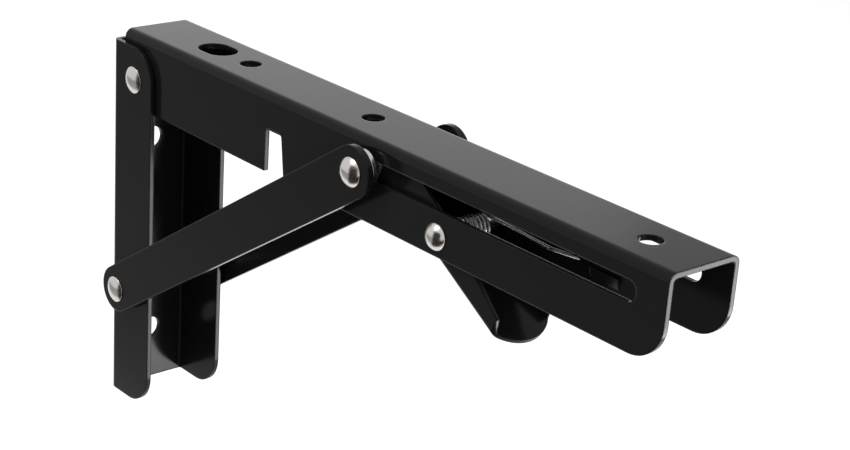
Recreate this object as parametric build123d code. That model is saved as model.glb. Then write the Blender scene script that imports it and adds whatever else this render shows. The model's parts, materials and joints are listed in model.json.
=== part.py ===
from build123d import *
import math
import os

# Folding shelf bracket, stored open, with its wall plate upright.
# Origin: midway between the two wall screws, on the back of the wall plate.
# +X points away from the wall along the shelf rail, +Z up. Left is -Y, right is +Y.
# Lengths are in millimetres, angles in degrees.

# Wall plate: a channel of folded sheet that opens away from the wall
sheet = 2.0
plate_width = 36.8
plate_depth = 28.5
plate_length = 157.0
plate_bend = 3.0
plate_corner = 14.0
screw_spacing = 88.0
screw_hole = 10.0
screw_below_top = 45.5

# Shelf rail: an upside-down channel that nests between the wall plate's sides
rail_length = 300.0
rail_height = 31.0
rail_bend = 3.4
rail_side_play = 0.5
rail_from_wall = 5.4
rail_above_plate = 5.0
rail_front_corner = 13.5
rail_rear_corner = 12.0
access_hole_length = 17.8
access_hole_width = 13.2
access_hole_x = 48.0
shelf_screw_hole = 8.6
shelf_screw_x = (70.1, 145.7)
front_screw_from_end = 23.0

# Pivots and slot, measured from the wall, from the rail's top and, for the slot's end, from its front
upper_pivot_x = 15.6
upper_pivot_drop = 18.7
lower_pivot_x = 11.8
pivot_spacing = 92.4
slot_end_margin = 16.35
slot_drop = 11.0
slot_width = 7.4
slot_end_play = 0.1

# Notch in the rail that takes in the lower pivot when the bracket is folded
notch_rear_reach = 5.6
notch_front_reach = 4.2
notch_mouth_reach = 6.6
notch_drop = 13.9
notch_corner = 1.6

# Strut arms outside the wall plate
arm_sheet = 2.5
arm_width = 19.5
arm_gap = 2.8
spacer_diameter = 12.0
spacer_play = 0.1

# Rivets with low heads
pivot_diameter = 6.0
head_diameter = 11.0
head_height = 2.2
strut_head_height = 3.0
lever_head_diameter = 10.0
lever_head_height = 3.2
head_play = 0.1
press_clearance = 0.02
running_clearance = 0.06

# Sliding pin with a shouldered bush on each side
pin_diameter = 7.0
journal_diameter = 5.5
bush_play = 0.08
shoulder_diameter = 15.4
shoulder_width = 1.9
shoulder_from_rail = 1.8
open_pivot_gap = 0.25

# Locking lever: a trough of folded sheet on its own pivot
lever_from_pin = 37.9
lever_drop = 23.8
lever_sheet = 1.6
lever_play = 0.4
lever_boss = 6.6
lever_floor = 8.7
lever_slope = 30.9
nose_clearance = 0.3
nose_bottom = 4.6
nose_to_web = 0.5
ramp_slope = 37.3
cheek_end = 38.4
cheek_edge_start = 36.4
cheek_edge_drop = 2.1
tab_reach = 44.1
tab_tip_radius = 15.8
lever_bend = 2.2
floor_bend = 8.0
lever_relief = 0.3

# Return spring on the lever's pivot
wire = 1.4
coil_diameter = 8.0
coil_turns = 9
coil_steps = 11
coil_pitch = 1.8
coil_from_cheek = 2.0
short_leg = 14.0
long_leg = 33.0
long_leg_fall = 2.6
hook_reach = 7.7
hook_fall = 2.0
hook_from_side = 1.4
stop_diameter = 4.4
stop_height = 1.9
stop_recess = 1.2
lance_x = (246.2, 259.4)
lance_below_top = 24.6
lance_height = 4.5
lance_depth = 1.4
spring_seat = 0.15

# Worked out from the sizes above
plate_half = plate_width / 2
rail_half = plate_half - sheet - rail_side_play
rail_inner = rail_half - sheet
plate_top = screw_spacing / 2 + screw_below_top
plate_bottom = plate_top - plate_length
rail_top = plate_top + rail_above_plate
rail_bottom = rail_top - rail_height
rail_end = rail_from_wall + rail_length
upper_pivot_z = rail_top - upper_pivot_drop
lower_pivot_z = upper_pivot_z - pivot_spacing
slot_z = rail_top - slot_drop
lever_z = rail_top - lever_drop
arm_inner = plate_half + arm_gap
arm_outer = arm_inner + arm_sheet
lever_half = rail_inner - lever_play
lever_inner = lever_half - lever_sheet
nose_top = rail_top - sheet - nose_to_web - lever_z
across = 2 * arm_outer

# When the rail hangs straight down, the sliding pin lies at the slot's far end.
# That fixes the strut's length, and the length fixes the pin's place with the rail level.
folded_pin_x = rail_end - slot_end_margin
folded_slot_x = upper_pivot_x + slot_z - upper_pivot_z
folded_pin_below = folded_pin_x - upper_pivot_x - pivot_spacing
strut_length = math.hypot(folded_slot_x - lower_pivot_x, folded_pin_below)
pin_open_x = lower_pivot_x + math.sqrt(strut_length**2 - (slot_z - lower_pivot_z) ** 2)
lever_x = pin_open_x + lever_from_pin


def slab(outline, low_y, high_y):
    """A flat outline, drawn in X and Z, made solid between two planes across Y."""
    plane = Plane(origin=(0, high_y, 0), x_dir=(1, 0, 0), z_dir=(0, -1, 0))
    return extrude(plane * outline, amount=high_y - low_y)


def rod(x, z, diameter, low_y, high_y):
    """A round bar along Y."""
    return Pos(x, (low_y + high_y) / 2, z) * Rot(X=90) * Cylinder(diameter / 2, high_y - low_y)


def panel(low_x, high_x, low_z, high_z):
    """A rectangle in X and Z."""
    centre = Pos((low_x + high_x) / 2, (low_z + high_z) / 2)
    return centre * Rectangle(high_x - low_x, high_z - low_z)


def bent_section(width, depth, bend):
    """Section of folded sheet: a back across local X, and two sides down to -depth."""
    outside = Rectangle(width, depth, align=(Align.CENTER, Align.MAX))
    outside = fillet([v for v in outside.vertices() if v.Y > -depth / 2], bend)
    inside_shape = Rectangle(width - 2 * sheet, depth, align=(Align.CENTER, Align.MAX))
    inside_shape = fillet([v for v in inside_shape.vertices() if v.Y > -depth / 2], bend - sheet)
    return outside - Pos(0, -sheet) * inside_shape


def headed_rivet(x, z, shank, seat, diameter, height):
    """A through rivet with a head outside each of the planes |Y| = seat."""
    body = rod(x, z, shank, -seat, seat)
    body += rod(x, z, diameter, -seat - height, -seat)
    body += rod(x, z, diameter, seat, seat + height)
    return body


def make_wall_plate():
    section = bent_section(plate_width, plate_depth, plate_bend)
    upright = Plane(origin=(0, 0, plate_bottom), x_dir=(0, 1, 0), z_dir=(0, 0, 1))
    channel = extrude(upright * section, amount=plate_length)
    side = panel(-1, plate_depth, plate_bottom, plate_top)
    side = fillet([v for v in side.vertices() if v.X > 0], plate_corner)
    body = channel & slab(side, -plate_width, plate_width)
    hole = pivot_diameter + 2 * press_clearance
    body -= rod(upper_pivot_x, upper_pivot_z, hole, -across, across)
    body -= rod(lower_pivot_x, lower_pivot_z, hole, -across, across)
    for z in (-screw_spacing / 2, screw_spacing / 2):
        body -= Pos(0, 0, z) * Rot(Y=90) * Cylinder(screw_hole / 2, 4 * sheet)
    return body


def notch_outline():
    """Notch, open at the rail's lower edge and wider there, on the folded place of the lower pivot."""
    centre = upper_pivot_x + pivot_spacing
    top = rail_top - notch_drop
    corners = [
        (centre - notch_rear_reach, rail_bottom),
        (centre - notch_rear_reach, top),
        (centre + notch_front_reach, top),
        (centre + notch_mouth_reach, rail_bottom),
    ]
    outline = make_face(Polyline(*corners, close=True))
    return fillet([v for v in outline.vertices() if v.Y > top - 1], notch_corner)


def slot_outline():
    """Long slot that the sliding pin runs in, from its open place to its folded place."""
    travel = folded_pin_x - pin_open_x
    centre = Pos((pin_open_x + folded_pin_x) / 2, slot_z)
    return centre * SlotCenterToCenter(travel + 2 * slot_end_play, slot_width)


def spring_stop_place():
    """Centre, in X and Z, of the stud on the right side that the spring's long leg bears up on."""
    leg = spring_path()[-1]
    return leg.X, leg.Z + wire / 2 + spring_seat + stop_diameter / 2


def make_lance():
    """A strip pressed inwards from the right side, deepest along its upper edge."""
    top = rail_top - lance_below_top
    section = make_face(Polyline(
        (rail_inner + sheet / 2, top), (rail_inner - lance_depth, top),
        (rail_inner, top - lance_height), (rail_inner + sheet / 2, top - lance_height), close=True,
    ))
    start, end = lance_x
    along = Plane(origin=(start, 0, 0), x_dir=(0, 1, 0), z_dir=(1, 0, 0))
    return extrude(along * section, amount=end - start)


def make_shelf_rail():
    section = bent_section(2 * rail_half, rail_height, rail_bend)
    along = Plane(origin=(rail_from_wall, 0, rail_top), x_dir=(0, 1, 0), z_dir=(1, 0, 0))
    channel = extrude(along * section, amount=rail_length)
    side = panel(rail_from_wall, rail_end, rail_bottom, rail_top)
    rear = [v for v in side.vertices() if v.X < upper_pivot_x and v.Y < slot_z]
    side = fillet(rear, rail_rear_corner)
    front = [v for v in side.vertices() if v.X > rail_end - 1 and v.Y < slot_z]
    side = fillet(front, rail_front_corner)
    body = channel & slab(side, -across, across)
    body -= slab(slot_outline(), -across, across)
    body -= slab(notch_outline(), -across, across)
    body -= rod(upper_pivot_x, upper_pivot_z, pivot_diameter + 2 * running_clearance, -across, across)
    body -= rod(lever_x, lever_z, pivot_diameter + 2 * press_clearance, -across, across)
    web_z = rail_top - sheet / 2
    oblong = SlotOverall(access_hole_length, access_hole_width)
    body -= Pos(access_hole_x, 0, web_z - sheet) * extrude(oblong, amount=2 * sheet)
    for x in (*shelf_screw_x, rail_end - front_screw_from_end):
        body -= Pos(x, 0, web_z) * Cylinder(shelf_screw_hole / 2, 2 * sheet)
    stop_x, stop_z = spring_stop_place()
    body += rod(stop_x, stop_z, stop_diameter, rail_inner - stop_height, rail_inner)
    body -= rod(stop_x, stop_z, stop_diameter, rail_half - stop_recess, rail_half + sheet)
    return body + make_lance()


def make_strut_arm(low_y, high_y):
    turn = math.degrees(math.atan2(slot_z - lower_pivot_z, pin_open_x - lower_pivot_x))
    centre = Pos((lower_pivot_x + pin_open_x) / 2, (lower_pivot_z + slot_z) / 2)
    outline = centre * Rot(Z=turn) * SlotCenterToCenter(strut_length, arm_width)
    body = slab(outline, low_y, high_y)
    pivot_hole = pivot_diameter + 2 * running_clearance
    body -= rod(lower_pivot_x, lower_pivot_z, pivot_hole, -across, across)
    body -= rod(pin_open_x, slot_z, journal_diameter + 2 * press_clearance, -across, across)
    return body


def make_strut_rivet(side):
    """Headed end of the sliding pin that is riveted into one arm."""
    body = rod(pin_open_x, slot_z, journal_diameter, arm_inner, arm_outer)
    body += rod(pin_open_x, slot_z, head_diameter, arm_outer, arm_outer + strut_head_height)
    return body if side > 0 else mirror(body, about=Plane.XZ)


def make_slot_pin():
    """The pin between the rail's sides, and its two journals in the slots."""
    middle_half = lever_inner - lever_relief
    journal_inner = lever_half + lever_relief
    journal_outer = arm_inner - open_pivot_gap
    body = rod(pin_open_x, slot_z, pin_diameter, -middle_half, middle_half)
    body += rod(pin_open_x, slot_z, journal_diameter, journal_inner, journal_outer)
    body += rod(pin_open_x, slot_z, journal_diameter, -journal_outer, -journal_inner)
    return body


def make_slot_bush(side):
    """Bush on a journal of the sliding pin, with a round shoulder between the rail and the arm."""
    end = arm_inner - open_pivot_gap
    body = rod(pin_open_x, slot_z, slot_width - 2 * bush_play, rail_inner, end)
    inner = rail_half + shoulder_from_rail
    body += rod(pin_open_x, slot_z, shoulder_diameter, inner, inner + shoulder_width)
    body -= rod(pin_open_x, slot_z, journal_diameter + 2 * press_clearance, 0, across)
    return body if side > 0 else mirror(body, about=Plane.XZ)


def make_pivot_spacer(side):
    """Ring on the lower pivot between the wall plate and one arm."""
    body = rod(lower_pivot_x, lower_pivot_z, spacer_diameter, plate_half, arm_inner - spacer_play)
    body -= rod(lower_pivot_x, lower_pivot_z, pivot_diameter + 2 * press_clearance, 0, across)
    return body if side > 0 else mirror(body, about=Plane.XZ)


def on_tab(along, below):
    """Point of the lever by its distance along the tab's slope and below the pivot's own line."""
    turn = math.radians(lever_slope)
    x = along * math.cos(turn) - below * math.sin(turn)
    z = -along * math.sin(turn) - below * math.cos(turn)
    return x, z


def tangent_point(x, z, radius, side):
    """Where a line from (x, z) touches a circle about the lever's pivot."""
    angle = math.atan2(z, x) + side * math.acos(radius / math.hypot(x, z))
    return radius * math.cos(angle), radius * math.sin(angle)


def nose_radius():
    """Reach of the nose, which stops just short of the pin in its open place."""
    reach = math.hypot(pin_open_x - lever_x, slot_z - lever_z)
    return reach - pin_diameter / 2 - nose_clearance


def nose_base():
    """Lower corner of the nose."""
    return -math.sqrt(nose_radius() ** 2 - nose_bottom**2), nose_bottom


def floor_corner(distance):
    """Where the nose's floor meets the tab's floor, both at one distance from the pivot."""
    nose_x, nose_z = tangent_point(*nose_base(), lever_floor, 1)
    nose_angle = math.atan2(nose_z, nose_x)
    tab_x, tab_z = on_tab(0, 1)
    tab_angle = math.atan2(tab_z, tab_x)
    middle = (nose_angle + tab_angle) / 2
    reach = distance / math.cos((nose_angle - tab_angle) / 2)
    return reach * math.cos(middle), reach * math.sin(middle)


def nose_floor(x, distance):
    """Height of the nose's floor line, a given distance below the pivot, at one x."""
    base_x, base_z = nose_base()
    touch_x, touch_z = tangent_point(base_x, base_z, lever_floor, 1)
    fall = (touch_z - base_z) / (touch_x - base_x)
    corner_x, corner_z = floor_corner(distance)
    return corner_z + fall * (x - corner_x)


def lever_outline():
    """Side view of the lever about its pivot: nose, ramp, boss and tapering tab."""
    nose = nose_radius()
    ramp = (nose_top - lever_boss) / math.tan(math.radians(ramp_slope))
    head = [
        (-2 * nose, nose_top),
        (-ramp, nose_top),
        (0, lever_boss),
        (0, 0),
        floor_corner(lever_floor),
        (-2 * nose, nose_floor(-2 * nose, lever_floor)),
    ]
    front = make_face(Polyline(*head, close=True)) & Circle(nose)
    tail = [
        (0, 0),
        tangent_point(*on_tab(cheek_edge_start, cheek_edge_drop), lever_boss, 1),
        on_tab(cheek_edge_start, cheek_edge_drop),
        on_tab(cheek_end, lever_floor - lever_sheet),
        on_tab(tab_reach, lever_floor - lever_sheet),
        on_tab(tab_reach, lever_floor),
        floor_corner(lever_floor),
    ]
    back = make_face(Polyline(*tail, close=True))
    outline = front + Circle(lever_boss) + back
    corner_x, corner_z = floor_corner(lever_floor)
    corner = [v for v in outline.vertices() if math.hypot(v.X - corner_x, v.Y - corner_z) < 0.01]
    return fillet(corner, floor_bend)


def trough_outline():
    """Side view of the space between the lever's cheeks, above its floor."""
    far = 2 * nose_radius()
    distance = lever_floor - lever_sheet
    points = [
        (-far, nose_floor(-far, distance)),
        floor_corner(distance),
        on_tab(far, distance),
        (far, far),
        (-far, far),
    ]
    outline = make_face(Polyline(*points, close=True))
    corner_x, corner_z = floor_corner(distance)
    corner = [v for v in outline.vertices() if math.hypot(v.X - corner_x, v.Y - corner_z) < 0.01]
    return fillet(corner, floor_bend + lever_sheet)


def floor_edges(body, distance, half):
    """Edges along the lever's floor where it turns up into the two cheeks."""
    found = []
    for edge in body.edges():
        middle = edge.position_at(0.5)
        along = edge.tangent_at(0.5)
        x, z = middle.X - lever_x, middle.Z - lever_z
        reach = abs(along.X * z - along.Z * x)
        on_side = abs(abs(middle.Y) - half) < 0.01 and abs(along.Y) < 0.01
        if on_side and abs(reach - distance) < 0.3 and z < -0.3 * x - 3:
            found.append(edge)
    return found


def tab_plan():
    """Plan of the lever in the plane of its tab, with the rounded tip."""
    tip_centre = tab_reach - tab_tip_radius
    straight_end = tip_centre + math.sqrt(tab_tip_radius**2 - lever_half**2)
    length = straight_end + 2 * nose_radius()
    straight = Pos(straight_end - length / 2, 0) * Rectangle(length, 2 * lever_half)
    return straight + Pos(tip_centre, 0) * Circle(tab_tip_radius)


def make_lock_lever():
    place = Pos(lever_x, lever_z)
    body = slab(place * lever_outline(), -lever_half, lever_half)
    body = fillet(floor_edges(body, lever_floor, lever_half), lever_bend)
    trough = slab(place * trough_outline(), -lever_inner, lever_inner)
    trough = fillet(floor_edges(trough, lever_floor - lever_sheet, lever_inner), lever_bend - lever_sheet)
    body -= trough
    turn = math.radians(lever_slope)
    tab_plane = Plane(
        origin=(lever_x, 0, lever_z),
        x_dir=(math.cos(turn), 0, -math.sin(turn)),
        z_dir=(math.sin(turn), 0, math.cos(turn)),
    )
    body &= extrude(tab_plane * tab_plan(), amount=2 * nose_radius(), both=True)
    body -= rod(lever_x, lever_z, pivot_diameter + 2 * running_clearance, -across, across)
    return body


def spring_path():
    """Points along the return spring: short leg, coil in straight steps, long leg and its turned end."""
    slope = math.radians(lever_slope)
    angle = 2 * math.pi * coil_turns + math.radians(180 - lever_slope + long_leg_fall)
    length = coil_pitch * angle / (2 * math.pi)
    outward = Vector(-math.sin(slope), 0, -math.cos(slope))
    onward = Vector(-math.cos(slope), 0, math.sin(slope))
    end = coil_from_cheek + coil_turns * coil_pitch - lever_inner
    start = Vector(lever_x, end - length, lever_z)
    steps = round(angle / (2 * math.pi) * coil_steps)
    coil = []
    for step in range(steps + 1):
        done = step / steps
        spoke = outward * math.cos(angle * done) + onward * math.sin(angle * done)
        coil.append(start + spoke * (coil_diameter / 2) + Vector(0, length * done, 0))
    leaving = onward * math.cos(angle) - outward * math.sin(angle)
    bend = coil[-1] + leaving * long_leg
    drop = lever_floor - lever_sheet - wire / 2 - spring_seat - coil_diameter / 2
    foot = coil[0] - onward * short_leg + outward * drop
    hook = Vector(hook_reach, rail_inner - hook_from_side - bend.Y, -hook_fall)
    return [foot, *coil, bend, bend + hook]


def make_torsion_spring():
    path = Polyline(*spring_path())
    section = Plane(origin=path @ 0, z_dir=path % 0) * RegularPolygon(wire / 2, 6)
    return sweep(section, path=path, transition=Transition.RIGHT)


parts = {
    "wall_plate": make_wall_plate(),
    "shelf_rail": make_shelf_rail(),
    "strut_arm_left": make_strut_arm(-arm_outer, -arm_inner),
    "strut_arm_right": make_strut_arm(arm_inner, arm_outer),
    "strut_rivet_left": make_strut_rivet(-1),
    "strut_rivet_right": make_strut_rivet(1),
    "slot_pin": make_slot_pin(),
    "slot_bush_left": make_slot_bush(-1),
    "slot_bush_right": make_slot_bush(1),
    "pivot_spacer_left": make_pivot_spacer(-1),
    "pivot_spacer_right": make_pivot_spacer(1),
    "lock_lever": make_lock_lever(),
    "torsion_spring": make_torsion_spring(),
}
parts["upper_pivot_rivet"] = headed_rivet(
    upper_pivot_x, upper_pivot_z, pivot_diameter, plate_half, head_diameter, head_height
)
parts["lower_pivot_rivet"] = headed_rivet(
    lower_pivot_x, lower_pivot_z, pivot_diameter, arm_outer + head_play, head_diameter, head_height
)
parts["lever_rivet"] = headed_rivet(
    lever_x, lever_z, pivot_diameter, rail_half, lever_head_diameter, lever_head_height
)

os.makedirs("parts", exist_ok=True)
for name, solid in parts.items():
    export_step(solid, f"parts/{name}.step")
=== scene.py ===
import json
import math

import bmesh
import bpy
from mathutils import Matrix, Vector


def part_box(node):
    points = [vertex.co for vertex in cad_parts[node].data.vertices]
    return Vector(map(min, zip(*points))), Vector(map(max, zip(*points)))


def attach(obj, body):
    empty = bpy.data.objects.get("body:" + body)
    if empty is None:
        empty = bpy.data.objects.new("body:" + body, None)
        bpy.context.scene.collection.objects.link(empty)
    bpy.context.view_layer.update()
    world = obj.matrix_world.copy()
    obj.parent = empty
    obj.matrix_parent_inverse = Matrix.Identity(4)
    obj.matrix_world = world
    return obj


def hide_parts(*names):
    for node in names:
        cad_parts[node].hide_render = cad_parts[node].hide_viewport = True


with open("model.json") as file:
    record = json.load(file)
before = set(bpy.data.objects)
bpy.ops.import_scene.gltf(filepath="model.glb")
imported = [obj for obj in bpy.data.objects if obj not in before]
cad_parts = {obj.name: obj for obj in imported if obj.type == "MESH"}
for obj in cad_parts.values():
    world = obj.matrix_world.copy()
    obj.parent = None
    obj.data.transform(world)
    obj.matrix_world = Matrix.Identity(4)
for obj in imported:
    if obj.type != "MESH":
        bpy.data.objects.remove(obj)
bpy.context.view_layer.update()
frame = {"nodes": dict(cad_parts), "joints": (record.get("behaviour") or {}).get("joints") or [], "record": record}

# Lengths are in metres, those with MM were written in millimetres, and angles are in degrees
MM = 0.001

# Rivets: domed heads, each on a short straight rim
shank_radius = 3.0 * MM
strut_shank_radius = 2.75 * MM
head_radius = 5.5 * MM
lever_head_radius = 5.0 * MM
pivot_head_height = 2.2 * MM
strut_head_height = 3.0 * MM
lever_head_height = 3.2 * MM
head_rim = 0.35 * MM
seat_chamfer = 0.12 * MM
dome_rings = 14
head_sides = 96
shank_sides = 64
left, right = -1, 1

# Return spring on the lever's pivot
wire = 1.4 * MM
coil_radius = 4.0 * MM
coil_pitch = 1.8 * MM
coil_turns = 9
coil_end_from_middle = 6.3 * MM
points_per_turn = 36
short_leg = 14 * MM
short_leg_lean = 2.25 * MM
short_leg_slope = 30.9
long_leg = 33 * MM
long_leg_fall = 2.6
hook = Vector((7.7, 6.2, -2.0)) * MM
hook_bend_radius = 4.0 * MM
hook_bend_steps = 10
wire_bevel_resolution = 4

# Colours: of flats and of cut edges for the paint, where the lighter cut edges are partly thinner paint and partly
# a painted edge highlight, and of dark and light clouds for the metals
paint_flat_and_edge_highlight_colours = (0.0085, 0.0085, 0.0088), (0.014, 0.014, 0.0144)
nickel_colours = (0.50, 0.475, 0.455), (0.60, 0.575, 0.555)
wire_colours = (0.42, 0.415, 0.41), (0.60, 0.595, 0.59)
paint_roughness = (0.13, 0.19)
nickel_roughness = (0.16, 0.27)
wire_roughness = (0.22, 0.36)
paint_edge_radius = 0.8 * MM
nickel_edge_radius = 0.25 * MM

# Studio: the floor, and the cards that the part's gloss shows
floor_z = -0.45
floor_half = 6
floor_glow = 0.5
world_light = 0.55
card_z = -0.44
dark_card_x, dark_card_y, dark_card_top = (-0.1, 1.2), -1.2, 0.9
dark_mat_x, dark_mat_y = (-0.1, 2.6), (-1.2, -0.24)
grey_mat_x, grey_mat_y = (-3.0, -0.1), (-2.8, -0.42)
floor_colour = (0.86, 0.86, 0.86)
dark_colour = (0.030, 0.016, 0.012)
grey_colour = (0.60, 0.60, 0.60)

# Camera, fitted to the photograph
picture_width = 850
focal_length_in_pixels = 1906.726
sensor_width = 36
camera_azimuth, camera_elevation, camera_roll = 48.035, 21.202, 4.048
camera_distance = 657.518 * MM
camera_target = Vector((190.089, -11.372, 70.367)) * MM


# Materials

def new_material(name):
    material = bpy.data.materials.new(name)
    material.use_nodes = True
    nodes, links = material.node_tree.nodes, material.node_tree.links
    shader = nodes["Principled BSDF"]
    return material, nodes, links, shader


def object_noise(nodes, links, scale, detail, stretch=(1, 1, 1)):
    """Noise in the object's own place, so that it stays on the part as it moves."""
    place = nodes.new("ShaderNodeTexCoord")
    mapping = nodes.new("ShaderNodeMapping")
    mapping.inputs["Scale"].default_value = stretch
    noise = nodes.new("ShaderNodeTexNoise")
    noise.inputs["Scale"].default_value = scale
    noise.inputs["Detail"].default_value = detail
    links.new(place.outputs["Object"], mapping.inputs["Vector"])
    links.new(mapping.outputs["Vector"], noise.inputs["Vector"])
    return noise.outputs["Fac"]


def remap(nodes, links, value, source, target):
    """Moves a value from the range source to the range target."""
    node = nodes.new("ShaderNodeMapRange")
    for name, limit in zip(("From Min", "From Max", "To Min", "To Max"), (*source, *target)):
        node.inputs[name].default_value = limit
    links.new(value, node.inputs["Value"])
    return node.outputs["Result"]


def mix_colour(nodes, links, factor, colours):
    """Goes from the first of two colours to the second as the factor goes from 0 to 1."""
    node = nodes.new("ShaderNodeMix")
    node.data_type = "RGBA"
    for name, colour in zip("AB", colours):
        node.inputs[name].default_value = (*colour, 1)
    links.new(factor, node.inputs["Factor"])
    return node.outputs["Result"]


def rounded_normal(nodes, radius):
    """A normal that rounds the sharp edges."""
    bevel = nodes.new("ShaderNodeBevel")
    bevel.samples = 6
    bevel.inputs["Radius"].default_value = radius
    return bevel.outputs["Normal"]


def edge_mask(nodes, links, rounded):
    """0 on flats, rising to 1 on edges, where the rounded normal leaves the true one."""
    geometry = nodes.new("ShaderNodeNewGeometry")
    dot = nodes.new("ShaderNodeVectorMath")
    dot.operation = "DOT_PRODUCT"
    links.new(rounded, dot.inputs[0])
    links.new(geometry.outputs["Normal"], dot.inputs[1])
    return remap(nodes, links, dot.outputs["Value"], (0.98, 0.75), (0, 1))


def bump(nodes, links, height, strength, distance, normal=None):
    node = nodes.new("ShaderNodeBump")
    node.inputs["Strength"].default_value = strength
    node.inputs["Distance"].default_value = distance
    links.new(height, node.inputs["Height"])
    if normal is not None:
        links.new(normal, node.inputs["Normal"])
    return node.outputs["Normal"]


def make_paint():
    """Semi-gloss black paint with a fine orange peel, lighter on the edges, partly as thinner paint there and
    partly as a painted edge highlight.
    """
    material, nodes, links, shader = new_material("black_paint")
    normal = rounded_normal(nodes, paint_edge_radius)
    edge = edge_mask(nodes, links, normal)
    peel = object_noise(nodes, links, scale=900, detail=2)
    cloud = object_noise(nodes, links, scale=22, detail=4)
    # The edge mask lightens the cut edges: a painted edge highlight, over paint that is partly thinner there.
    links.new(mix_colour(nodes, links, edge, paint_flat_and_edge_highlight_colours), shader.inputs["Base Color"])
    links.new(remap(nodes, links, cloud, (0.3, 0.7), paint_roughness), shader.inputs["Roughness"])
    shader.inputs["Specular IOR Level"].default_value = 0.10
    links.new(bump(nodes, links, peel, 0.10, 0.12 * MM, normal), shader.inputs["Normal"])
    return material


def make_nickel():
    """Bright nickel plate with faint scratches and a little unevenness in its gloss."""
    material, nodes, links, shader = new_material("nickel_plate")
    normal = rounded_normal(nodes, nickel_edge_radius)
    scratch = object_noise(nodes, links, scale=260, detail=3, stretch=(1, 1, 9))
    cloud = object_noise(nodes, links, scale=90, detail=3)
    links.new(mix_colour(nodes, links, cloud, nickel_colours), shader.inputs["Base Color"])
    shader.inputs["Metallic"].default_value = 1.0
    links.new(remap(nodes, links, scratch, (0.35, 0.65), nickel_roughness), shader.inputs["Roughness"])
    links.new(bump(nodes, links, scratch, 0.06, 0.05 * MM, normal), shader.inputs["Normal"])
    return material


def make_wire():
    """Dark drawn spring wire with a dull metal sheen."""
    material, nodes, links, shader = new_material("dark_spring_wire")
    drawn = object_noise(nodes, links, scale=500, detail=3, stretch=(0.3, 1, 1))
    cloud = object_noise(nodes, links, scale=120, detail=3)
    links.new(mix_colour(nodes, links, cloud, wire_colours), shader.inputs["Base Color"])
    shader.inputs["Metallic"].default_value = 1.0
    links.new(remap(nodes, links, drawn, (0.3, 0.7), wire_roughness), shader.inputs["Roughness"])
    links.new(bump(nodes, links, drawn, 0.12, 0.04 * MM), shader.inputs["Normal"])
    return material


materials = {
    "black_paint": make_paint(),
    "nickel_plate": make_nickel(),
    "dark_spring_wire": make_wire(),
}
for entry in frame["record"]["subparts"]:
    node = frame["nodes"][entry["node"]]
    node.data.materials.clear()
    node.data.materials.append(materials[entry["material_slot"]])


# Pieces

def add_piece(name, mesh, body, slot, nodes):
    """Puts a mesh in the scene as a piece that rides on a body and stands for CAD nodes."""
    piece = bpy.data.objects.new(name, mesh)
    bpy.context.scene.collection.objects.link(piece)
    mesh.materials.append(materials[slot])
    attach(piece, body)
    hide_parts(*nodes)


def lathe(profile, origin, side, steps):
    """Turns a profile of (radius, distance along Y) about an axis along Y through origin."""
    work = bmesh.new()
    rings = []
    for radius, along in profile:
        ring = []
        for step in range(steps if radius > 0 else 1):
            angle = 2 * math.pi * step / steps
            place = Vector((radius * math.cos(angle), side * along, radius * math.sin(angle)))
            ring.append(work.verts.new(origin + place))
        rings.append(ring)
    for first, second in zip(rings, rings[1:]):
        for step in range(steps):
            corners = [first[step % len(first)], first[(step + 1) % len(first)],
                       second[(step + 1) % len(second)], second[step % len(second)]]
            corners = list(dict.fromkeys(corners))
            if len(corners) > 2:
                work.faces.new(corners)
    return work


def dome_profile(radius, height):
    """Outline of a domed head, from its seat's middle to the middle of its top."""
    cap = height - head_rim
    sphere = (radius**2 + cap**2) / (2 * cap)
    full = math.asin(radius / sphere)
    outline = [(0, 0), (radius - seat_chamfer, 0), (radius, seat_chamfer), (radius, head_rim)]
    for ring in range(1, dome_rings + 1):
        angle = full * (1 - ring / dome_rings)
        outline.append((sphere * math.sin(angle), height - sphere * (1 - math.cos(angle))))
    return outline


def join_work(name, parts, smooth_angle=35):
    """One mesh of several parts, shaded smooth up to an angle between faces."""
    mesh = bpy.data.meshes.new(name)
    work = bmesh.new()
    for part in parts:
        piece = bpy.data.meshes.new("work")
        part.to_mesh(piece)
        part.free()
        work.from_mesh(piece)
        bpy.data.meshes.remove(piece)
    bmesh.ops.recalc_face_normals(work, faces=work.faces)
    limit = math.radians(smooth_angle)
    for face in work.faces:
        face.smooth = True
    for edge in work.edges:
        edge.smooth = len(edge.link_faces) == 2 and edge.calc_face_angle(0) < limit
    work.to_mesh(mesh)
    work.free()
    return mesh


def add_rivet(node, body, shank, radius, height, sides=(left, right)):
    """A rivet with a domed head on each of its sides, in the place of a CAD rivet."""
    low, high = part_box(node)
    middle = Vector(((low.x + high.x) / 2, 0, (low.z + high.z) / 2))
    parts = []
    for side in sides:
        reach = high.y if side == right else -low.y
        seat = Vector((middle.x, side * (reach - height), middle.z))
        parts.append(lathe(dome_profile(radius, height), seat, side, head_sides))
    start = low.y + height if left in sides else low.y
    end = high.y - height if right in sides else high.y
    bar = [(0, 0), (shank, 0), (shank, end - start), (0, end - start)]
    parts.append(lathe(bar, Vector((middle.x, start, middle.z)), right, shank_sides))
    add_piece(node + "_domed", join_work(node + "_domed", parts), body, "nickel_plate", [node])


def add_rivets():
    for node in ("upper_pivot_rivet", "lower_pivot_rivet"):
        add_rivet(node, "wall_bracket", shank_radius, head_radius, pivot_head_height)
    add_rivet("lever_rivet", "rail", shank_radius, lever_head_radius, lever_head_height)
    for node, side in (("strut_rivet_left", left), ("strut_rivet_right", right)):
        add_rivet(node, "strut", strut_shank_radius, head_radius, strut_head_height, (side,))


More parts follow.
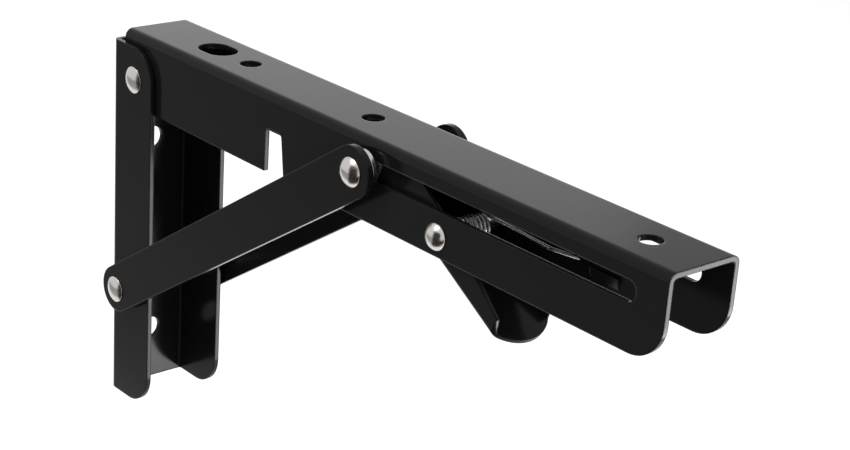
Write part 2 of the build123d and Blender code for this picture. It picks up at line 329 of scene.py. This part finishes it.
def tube(name, points):
    """Round wire along a smooth line of points."""
    curve = bpy.data.curves.new(name, "CURVE")
    curve.dimensions = "3D"
    curve.bevel_depth = wire / 2
    curve.bevel_resolution = wire_bevel_resolution
    curve.use_fill_caps = True
    spline = curve.splines.new("POLY")
    spline.points.add(len(points) - 1)
    for point, place in zip(spline.points, points):
        point.co = (*place, 1)
    holder = bpy.data.objects.new(name + "_line", curve)
    mesh = bpy.data.meshes.new_from_object(holder)
    mesh.name = name
    bpy.data.objects.remove(holder)
    bpy.data.curves.remove(curve)
    mesh.shade_smooth()
    return mesh


def round_corner(before, corner, after, radius, steps):
    """Points on the arc that rounds one corner of a line."""
    back, on = (before - corner).normalized(), (after - corner).normalized()
    half = back.angle(on) / 2
    reach = radius / math.tan(half)
    centre = corner + (back + on).normalized() * (radius / math.sin(half))
    first, last = corner + back * reach - centre, corner + on * reach - centre
    turn = first.angle(last)
    axis = first.cross(last).normalized()
    return [centre + Matrix.Rotation(turn * step / steps, 3, axis) @ first for step in range(steps + 1)]


def add_spring():
    """The coil and the long leg stay with the rail, and the short leg turns with the lever."""
    pivot = next(joint for joint in frame["joints"] if joint["name"] == "lever_release")["pos_m"]
    slope, fall = math.radians(short_leg_slope), math.radians(long_leg_fall)
    angle = 2 * math.pi * coil_turns + math.pi - slope + fall
    length = coil_pitch * angle / (2 * math.pi)
    outward = Vector((-math.sin(slope), 0, -math.cos(slope)))
    onward = Vector((-math.cos(slope), 0, math.sin(slope)))
    start = Vector(pivot) + Vector((0, coil_end_from_middle - length, 0))
    steps = points_per_turn * (coil_turns + 1)
    coil = []
    for step in range(steps + 1):
        done = step / steps
        spoke = outward * math.cos(angle * done) + onward * math.sin(angle * done)
        coil.append(start + spoke * coil_radius + Vector((0, length * done, 0)))
    leaving = onward * math.cos(angle) - outward * math.sin(angle)
    bend = coil[-1] + leaving * long_leg
    end = bend + hook
    corner = round_corner(coil[-1], bend, end, hook_bend_radius, hook_bend_steps)
    short_end = coil[0] - onward * short_leg + outward * short_leg_lean
    coil_mesh = tube("spring_coil", [*coil, *corner, end])
    leg_mesh = tube("spring_short_leg", [short_end, coil[0], coil[1]])
    add_piece("spring_coil", coil_mesh, "rail", "dark_spring_wire", ["torsion_spring"])
    add_piece("spring_short_leg", leg_mesh, "lever", "dark_spring_wire", ["torsion_spring"])


# Studio

def light_path_mask(nodes, links):
    """1 for what the camera, gloss and glass see, and 0 for the light that falls on the part."""
    path = nodes.new("ShaderNodeLightPath")
    mask = path.outputs["Is Camera Ray"]
    for ray in ("Is Glossy Ray", "Is Transmission Ray"):
        add = nodes.new("ShaderNodeMath")
        add.operation = "ADD"
        add.use_clamp = True
        links.new(mask, add.inputs[0])
        links.new(path.outputs[ray], add.inputs[1])
        mask = add.outputs[0]
    return mask


def make_world():
    world = bpy.data.worlds.new("studio")
    world.use_nodes = True
    bpy.context.scene.world = world
    nodes, links = world.node_tree.nodes, world.node_tree.links
    background = nodes["Background"]
    background.inputs["Color"].default_value = (1, 1, 1, 1)
    strength = remap(nodes, links, light_path_mask(nodes, links), (0, 1), (world_light, 1.0))
    links.new(strength, background.inputs["Strength"])


def level_corners(x, y, z):
    """Corners of a level rectangle over a range of x and one of y."""
    return [(x[0], y[0], z), (x[1], y[0], z), (x[1], y[1], z), (x[0], y[1], z)]


def add_sheet(name, corners, material):
    mesh = bpy.data.meshes.new(name)
    mesh.from_pydata(corners, [], [(0, 1, 2, 3)])
    mesh.materials.append(material)
    sheet = bpy.data.objects.new(name, mesh)
    bpy.context.scene.collection.objects.link(sheet)
    return sheet


def make_floor():
    material, nodes, links, shader = new_material("pale_floor")
    shader.inputs["Base Color"].default_value = (*floor_colour, 1)
    shader.inputs["Roughness"].default_value = 0.9
    shader.inputs["Specular IOR Level"].default_value = 0.0
    shader.inputs["Emission Color"].default_value = (1, 1, 1, 1)
    glow = remap(nodes, links, light_path_mask(nodes, links), (0, 1), (0, floor_glow))
    links.new(glow, shader.inputs["Emission Strength"])
    reach = (-floor_half, floor_half)
    floor = add_sheet("floor", level_corners(reach, reach, floor_z), material)


def add_card(name, corners, colour):
    """A card that only gloss shows. It neither lights the part nor shades the floor."""
    material, _, _, shader = new_material(name)
    shader.inputs["Base Color"].default_value = (*colour, 1)
    shader.inputs["Roughness"].default_value = 0.9
    card = add_sheet(name, corners, material)
    card.visible_camera = False
    card.visible_diffuse = False
    card.visible_shadow = False


def add_cards():
    """Dark card that stands at the part's left, with a dark mat before it, and a grey mat
    beyond the wall plate."""
    x, y = dark_card_x, dark_card_y
    standing = [(x[0], y, card_z), (x[1], y, card_z), (x[1], y, dark_card_top), (x[0], y, dark_card_top)]
    add_card("dark_card", standing, dark_colour)
    add_card("dark_mat", level_corners(dark_mat_x, dark_mat_y, card_z), dark_colour)
    add_card("grey_mat", level_corners(grey_mat_x, grey_mat_y, card_z), grey_colour)


def add_lamp(name, place, aim, size, power):
    lamp = bpy.data.lights.new(name, "AREA")
    lamp.shape = "DISK"
    lamp.size = size
    lamp.energy = power
    holder = bpy.data.objects.new(name, lamp)
    holder.location = place
    holder.visible_camera = False
    holder.rotation_euler = (Vector(aim) - Vector(place)).to_track_quat("-Z", "Y").to_euler()
    bpy.context.scene.collection.objects.link(holder)


def add_lamps():
    """Soft round lamps: the place of each, where it points, its width and its power in watts."""
    add_lamp("key", (-0.1, -0.7, 1.2), (0.15, 0, 0.03), 0.7, 8)
    add_lamp("fill", (1.2, 0.4, 0.5), (0.15, 0, 0.03), 0.8, 1.5)
    add_lamp("back", (-1.6, 1.1, 0.62), (0.1, 0, 0.09), 1.5, 3.1)
    add_lamp("rim", (0.654, 0.432, -0.24), (0.15, 0, 0.02), 0.42, 6.2)


def make_camera():
    azimuth, elevation = math.radians(camera_azimuth), math.radians(camera_elevation)
    roll = math.radians(camera_roll)
    back = Vector((math.sin(azimuth) * math.cos(elevation), -math.cos(azimuth) * math.cos(elevation),
                   math.sin(elevation)))
    level = (-back).cross(Vector((0, 0, 1))).normalized()
    rise = level.cross(-back)
    across = level * math.cos(roll) + rise * math.sin(roll)
    upward = rise * math.cos(roll) - level * math.sin(roll)
    data = bpy.data.cameras.new("camera")
    data.sensor_fit = "HORIZONTAL"
    data.sensor_width = sensor_width
    data.lens = sensor_width * focal_length_in_pixels / picture_width
    data.clip_start = 0.01
    camera = bpy.data.objects.new("camera", data)
    turned = Matrix((across, upward, back)).transposed().to_4x4()
    camera.matrix_world = Matrix.Translation(camera_target + back * camera_distance) @ turned
    bpy.context.scene.collection.objects.link(camera)
    bpy.context.scene.camera = camera


add_rivets()
add_spring()
make_world()
make_floor()
add_cards()
add_lamps()
make_camera()
bpy.context.scene.view_settings.view_transform = "Standard"
